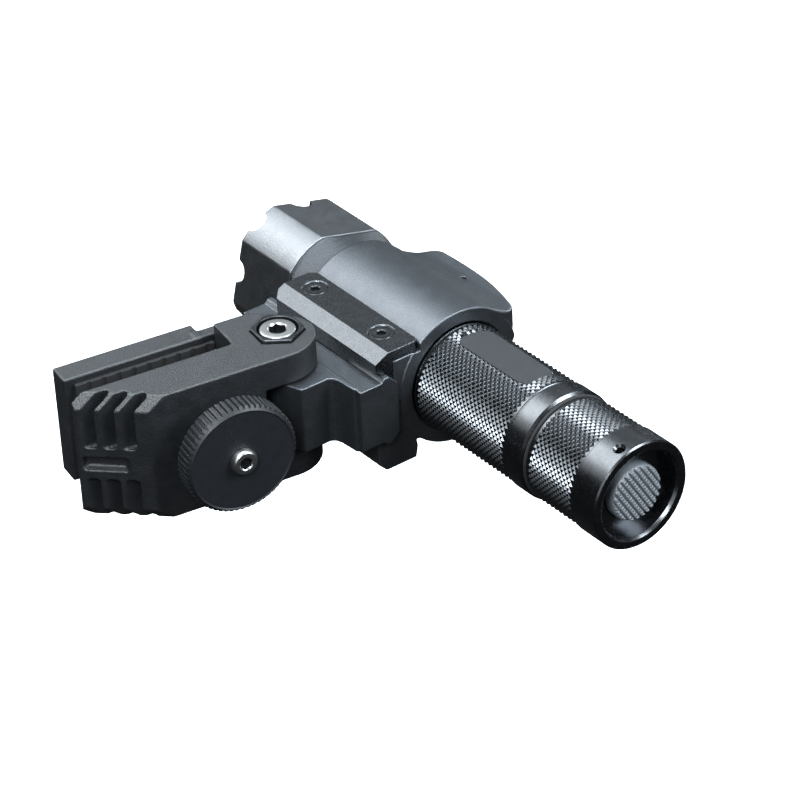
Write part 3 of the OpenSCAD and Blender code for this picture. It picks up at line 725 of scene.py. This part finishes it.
def jaw_plate(x, y, z):
    d = both(plate_a(x, z), span(y, 76.0, 123.4), 0.15)
    d = np.minimum(d, both(plate_b(x, z), span(y, 89.0, 123.4), 0.12))
    d = np.minimum(d, both(plate_c(x, z), span(y, 76.0, 90.0), 0.12))
    s = math.sqrt(0.5)
    d = both(d, s * (-(x + 27.6) + (y - 123.4)) + 1.6, 0.15)
    d = both(d, s * ((x + 13.0) + (y - 123.4)) + 1.2, 0.15)
    d = both(d, s * ((x + 13.0) - (y - 76.0)) + 0.8, 0.15)
    for k in (-1, 1):
        r = hyp(x + 18.3, y - (100.6 + k * 15.015))
        d = less(d, r - 2.05)
        d = less(d, both((r - 2.05 - (z - 14.9) * 0.89) * 0.747, 14.9 - z), 0.12)
    return d


carve("jaw_plate_shell", jaw_plate, (-27.6, 76.0, 7.9), (-13.0, 123.4, 16.8), 0.24, LIGHT, "rail_jaw", "jaw_anodised", ("rail_jaw_plate",))


for k, nm in ((1, "front"), (-1, "rear")):
    socket_screw("jaw_screw_%s_shell" % nm, (-18.3, 100.6 + k * 15.015, 0), (0, 0, 1), 1.25, 10 + 25 * k, 15.4, 1.62,
                 [(2.55, 16.65), (2.6, 16.5), (2.85, 16.5), (2.9, 16.65), (3.28, 16.65), (3.42, 16.52), (3.42, 16.42), (1.9, 14.75), (1.6, 14.6), (1.6, 4.5), (1.3, 4.2)],
                 "jaw_screw_" + nm, "screw_black", ("jaw_screw_" + nm,), LIGHT)

# ---------------------------------------------------------------- head
N4 = [(math.sin(math.radians(14.4 + 90 * k)), math.cos(math.radians(14.4 + 90 * k))) for k in range(4)]


def square(x, z):
    return np.maximum.reduce([x * a + z * b for a, b in N4[:2]] + [-(x * a + z * b) for a, b in N4[:2]])


def bezel(x, y, z):
    rad = hyp(x, z)
    d = both(rad - 21.2, square(x, z) - 19.0, 0.15)
    d = both(d, span(y, 130.6, 154.0), 0.3)
    d = less(d, both(rad - 16.6, 139.0 - y), 0.3)
    d = less(d, both((rad - 16.6 - (y - 153.4)) * 0.707, 150 - y))
    d = less(d, both(rad - 17.6, y - 148.4))
    for k in range(4):
        a = math.radians(14.4 + 45 * k)
        m = x * math.sin(a) + z * math.cos(a)
        q = x * math.cos(a) - z * math.sin(a)
        d = less(d, hyp(q, y - 154.2) - 3.4, 0.2)
    return d


carve("bezel_shell", bezel, (-21.2, 130.6, -21.2), (21.2, 154.0, 21.2), 0.295, LIGHT, "light", "head_anodised", ("strike_bezel",))

cone_poly = outline([(-5, 123.4), (17.6, 123.4), (21.0, 129.7), (21.0, 130.6), (-5, 130.6)])


def housing(x, y, z):
    rad = hyp(x, z)
    d = both(rad - 21.0, span(y, 123.4, 130.6), 0.1)
    d = both(d, (rad - 17.6 - (y - 123.4) * 0.54) * 0.88, 0.2)
    sq = square(x, z)
    d = both(d, 0.3746 * (y - 130.6) + 0.927 * (sq - 18.8), 0.15)
    d = np.minimum(d, both(rad - 17.5, span(y, 130.0, 136.4)))
    d = less(d, both(rad - 14.33, y - 129.45))
    d = less(d, both(rad - 15.5, y - 124.6))
    d = less(d, both(rad - 15.6, 131.4 - y))
    return less(d, hyp(x - 6, z) - 2.5)


carve("head_housing_shell", housing, (-21.0, 123.4, -21.0), (21.0, 136.4, 21.0), 0.3, LIGHT, "light", "cone_anodised", ("head_housing",))

# ---------------------------------------------------------------- knurled parts
KN = 54  # diamonds around


def knurled(name, before, after, y0, rows, crest, valley, inner, flat=None):
    """A closed turned part with a diamond-knurled band between two profiles."""
    n = 2 * KN
    dy = 0.88
    th = np.arange(n) * 2 * np.pi / n + math.radians(1.2)
    pts = []
    faces = []
    band = set()

    def ring_of(r, y):
        b = len(pts)
        for a in th:
            pts.append((r * math.cos(a), y, r * math.sin(a)))
        return b

    prev = None
    first = None
    for r, y in before:
        b = ring_of(r, y)
        if first is None:
            first = b
        if prev is not None:
            faces.extend((prev + k, prev + (k + 1) % n, b + (k + 1) % n, b + k) for k in range(n))
        prev = b
    rows_at = []
    for j in range(rows + 1):
        rows_at.append(ring_of(valley, y0 + j * dy))
    b = rows_at[0]
    faces.extend((prev + k, prev + (k + 1) % n, b + (k + 1) % n, b + k) for k in range(n))
    top = 0.24  # half size of the flat on each diamond, of the half pitch
    da = th[1] - th[0]

    def add(a, r, y):
        pts.append((r * math.cos(a), y, r * math.sin(a)))
        return len(pts) - 1

    for j in range(rows + 1):
        for k in range(n):
            if (j + k) % 2:
                continue
            c = rows_at[j] + k
            left, right = rows_at[j] + (k - 1) % n, rows_at[j] + (k + 1) % n
            dn = rows_at[j - 1] + k if j > 0 else None
            up = rows_at[j + 1] + k if j < rows else None
            if dn is None or up is None:
                if up is not None:
                    faces.append((left, c, up))
                    faces.append((c, right, up))
                else:
                    faces.append((dn, c, left))
                    faces.append((dn, right, c))
                continue
            y = y0 + j * dy
            a = th[k]
            t = [add(a - top * da, crest, y), add(a, crest, y - top * dy), add(a + top * da, crest, y), add(a, crest, y + top * dy)]
            s = [left, dn, right, up]
            f0 = len(faces)
            faces.append((t[0], t[1], t[2], t[3]))
            for i in range(4):
                i2 = (i + 1) % 4
                faces.append((s[i], s[i2], t[i2], t[i]))
            band.update(range(f0, len(faces)))
    prev = rows_at[-1]
    smooth_from = None
    for r, y in after:
        b = ring_of(r, y)
        faces.extend((prev + k, prev + (k + 1) % n, b + (k + 1) % n, b + k) for k in range(n))
        prev = b
    for r, y in inner:
        b = ring_of(r, y)
        faces.extend((prev + k, prev + (k + 1) % n, b + (k + 1) % n, b + k) for k in range(n))
        prev = b
    faces.extend((prev + k, prev + (k + 1) % n, first + (k + 1) % n, first + k) for k in range(n))
    # drop points that no face uses (the centres of the diamonds)
    used = np.zeros(len(pts), bool)
    for f in faces:
        used[list(f)] = True
    new = np.cumsum(used) - 1
    pts = np.array(pts)[used]
    faces = [tuple(int(new[i]) for i in f) for f in faces]
    return pts, faces, band


def finish_turned(o, band):
    sm = np.ones(len(o.data.polygons), bool)
    sm[list(band)] = False
    o.data.polygons.foreach_set("use_smooth", sm.tolist())
    # hard edges where the profile turns by more than 25 degrees
    o.data.set_sharp_from_angle(angle=math.radians(25))
    o.data.update()


barrel_before = [(13.3, 19.0), (13.9, 19.0), (14.3, 19.4), (14.3, 29.7), (15.2, 29.7), (15.9, 30.4), (15.9, 36.2), (15.78, 36.4), (15.5, 36.6),
                 (15.1, 36.8), (15.1, 37.3), (15.28, 37.45), (15.3, 37.8)]
barrel_after = [(15.3, 75.2), (15.6, 75.35), (15.6, 123.3), (14.3, 123.3), (14.3, 129.4), (13.3, 129.4)]
pts, faces, band = knurled("barrel", barrel_before, barrel_after, 37.9, 42, 15.7, 15.28, [])
# smooth flat milled along the top of the barrel, tilted a little to one side
FLAT = (41.6, 71.6, 5.5, 3.6)  # ends, half width, corner radius
tilt = math.radians(4.4)
h_flat = 14.72
mid, half_len = (FLAT[0] + FLAT[1]) / 2, (FLAT[1] - FLAT[0]) / 2
xs = pts[:, 0] * math.cos(tilt) - pts[:, 2] * math.sin(tilt)
zs = pts[:, 0] * math.sin(tilt) + pts[:, 2] * math.cos(tilt)
inside = (zs > 0) & (
    hyp(np.maximum(np.abs(xs) - FLAT[2] + FLAT[3], 0), np.maximum(np.abs(pts[:, 1] - mid) - half_len + FLAT[3], 0)) < FLAT[3] + 0.15)
zs[inside] = np.minimum(zs[inside], h_flat - 0.12)
pts[:, 0] = xs * math.cos(tilt) + zs * math.sin(tilt)
pts[:, 2] = -xs * math.sin(tilt) + zs * math.cos(tilt)
barrel = put("barrel_knurled", pts, faces, LIGHT, "light", "barrel_anodised", ("barrel",))
finish_turned(barrel, band)

# the flat itself: a slim island with round corners
fp, ff = [], []
cols = np.linspace(-1, 1, 13)
stations = []
for t in np.linspace(0, 1, 9):
    stations.append((FLAT[0] + FLAT[3] * (1 - math.cos(t * math.pi / 2)), 1 - FLAT[3] / FLAT[2] * (1 - math.sin(t * math.pi / 2))))
stations += [(y, 1.0) for y in np.linspace(FLAT[0] + 5, FLAT[1] - 5, 10)]
for t in np.linspace(1, 0, 9):
    stations.append((FLAT[1] - FLAT[3] * (1 - math.cos(t * math.pi / 2)), 1 - FLAT[3] / FLAT[2] * (1 - math.sin(t * math.pi / 2))))
for low in (False, True):
    for yv, w in stations:
        for c in cols:
            xv = c * FLAT[2] * w
            zv = 14.1 if low else h_flat + 0.10 * (1 - c * c)
            fp.append((xv * math.cos(tilt) + zv * math.sin(tilt), yv, -xv * math.sin(tilt) + zv * math.cos(tilt)))
m = len(cols)
ns = len(stations)
for s_ in range(ns - 1):
    for c in range(m - 1):
        a0, b0 = s_ * m + c, (s_ + 1) * m + c
        ff.append((a0, a0 + 1, b0 + 1, b0))
        a1, b1 = a0 + ns * m, b0 + ns * m
        ff.append((b1, b1 + 1, a1 + 1, a1))
for s_ in range(ns - 1):
    for c, flip in ((0, False), (m - 1, True)):
        q = (s_ * m + c, (s_ + 1) * m + c, (s_ + 1) * m + c + ns * m, s_ * m + c + ns * m)
        ff.append(q[::-1] if flip else q)
for c in range(m - 1):
    q = (c, c + ns * m, c + 1 + ns * m, c + 1)
    ff.append(q)
    e0 = (ns - 1) * m + c
    ff.append((e0, e0 + 1, e0 + 1 + ns * m, e0 + ns * m))
flat = put("barrel_flat", fp, ff, LIGHT, "light", "flat_anodised")
flat.data.set_sharp_from_angle(angle=math.radians(40))

cap_before = [(12.7, 4.6), (12.7, 0.95), (12.8, 0.75), (13.25, 0.1), (13.45, 0.0), (15.15, 0.0), (15.35, 0.06), (15.7, 0.5), (15.7, 9.35), (15.6, 9.55),
              (15.25, 9.7), (15.05, 9.9)]
cap_after = [(15.05, 28.0), (14.9, 28.4)]
cap_inner = [(14.35, 28.4), (14.35, 18.9), (12.2, 18.9), (12.2, 6.4), (8.3, 6.4), (8.3, 4.75), (8.45, 4.6)]
pts, faces, band = knurled("cap", cap_before, cap_after, 10.2, 20, 15.45, 15.05, cap_inner)
cap = put("tail_cap_knurled", pts, faces, LIGHT, "tail_cap", "barrel_anodised", ("tail_cap",))
finish_turned(cap, band)


def cut_with(o, name, bm_fill):
    bm = bmesh.new()
    bm_fill(bm)
    me = bpy.data.meshes.new(name)
    bm.to_mesh(me)
    bm.free()
    c = bpy.data.objects.new(name, me)
    scene.collection.objects.link(c)
    c.matrix_world = o.matrix_world.copy()
    mod = o.modifiers.new(name, "BOOLEAN")
    mod.operation = "DIFFERENCE"
    mod.solver = "EXACT"
    mod.object = c
    bpy.context.view_layer.update()
    dg = bpy.context.evaluated_depsgraph_get()
    res = bpy.data.meshes.new_from_object(o.evaluated_get(dg))
    o.modifiers.remove(mod)
    old = o.data
    o.data = res
    bpy.data.objects.remove(c)
    bpy.data.meshes.remove(old)


def lanyard(bm):
    # turned cutter: a bore with a wide chamfer at the barrel's skin
    prof = [(1.15, 11.0), (1.15, 14.95), (1.75, 15.66), (1.75, 17.5)]
    n = 40
    base = []
    tilt = Matrix.Rotation(math.radians(-16.5), 4, "Y")
    for r, h in prof:
        base.append([bm.verts.new(LIGHT @ (tilt @ Vector((r * math.cos(2 * math.pi * k / n), 3.2 + r * math.sin(2 * math.pi * k / n), h)))) for k in range(n)])
    for a, b in zip(base, base[1:]):
        for k in range(n):
            q = (k + 1) % n
            bm.faces.new((a[k], a[q], b[q], b[k]))
    bm.faces.new(base[0][::-1])
    bm.faces.new(base[-1])


cut_with(cap, "lanyard_cutter", lanyard)


def button(x, y, z):
    rad = hyp(x, z)
    a = math.radians(-58)
    v = x * math.cos(a) + z * math.sin(a)  # along the rows
    u = -x * math.sin(a) + z * math.cos(a)  # across the rows
    ph = np.abs(np.mod(u / 1.6, 1.0) - 0.5) * 2  # 0 on a row, 1 between rows
    row = np.clip((0.80 - ph) / 0.34, 0, 1)
    notch = np.clip(np.abs(np.mod(v / 1.2, 1.0) - 0.5) * 4 - 0.3, 0, 1)
    ridge = row * (0.3 + 0.7 * notch)
    top = 1.75 + 0.002 * rad * rad - 1.1 * ridge * np.clip((7.9 - rad) / 0.5, 0, 1)
    d = both((top - y) * 0.55, both(rad - 8.0, y - 6.7), 0.3)
    fl = both(rad - 10.5, span(y, 6.5, 7.1))
    return np.minimum(d, fl)


carve("tail_button_ridged", button, (-10.5, 0.6, -10.5), (10.5, 7.1, 10.5), 0.17, LIGHT, "tail_button", "button_rubber", ("tail_button",))

# the turned centres and other small parts keep the CAD shape, with eased edges
slot_of = {s["node"]: s["material_slot"] for s in record["subparts"]}
for name, o in nodes.items():
    o.data.materials.clear()
    o.data.materials.append(M[slot_of[name]])
    weld = o.modifiers.new("weld", "WELD")
    weld.merge_threshold = 2e-6
    bev = o.modifiers.new("eased edges", "BEVEL")
    bev.width = 0.00015
    bev.segments = 2
    bev.limit_method = "ANGLE"
    bev.angle_limit = math.radians(40)
    bev.use_clamp_overlap = True
    bev.harden_normals = False
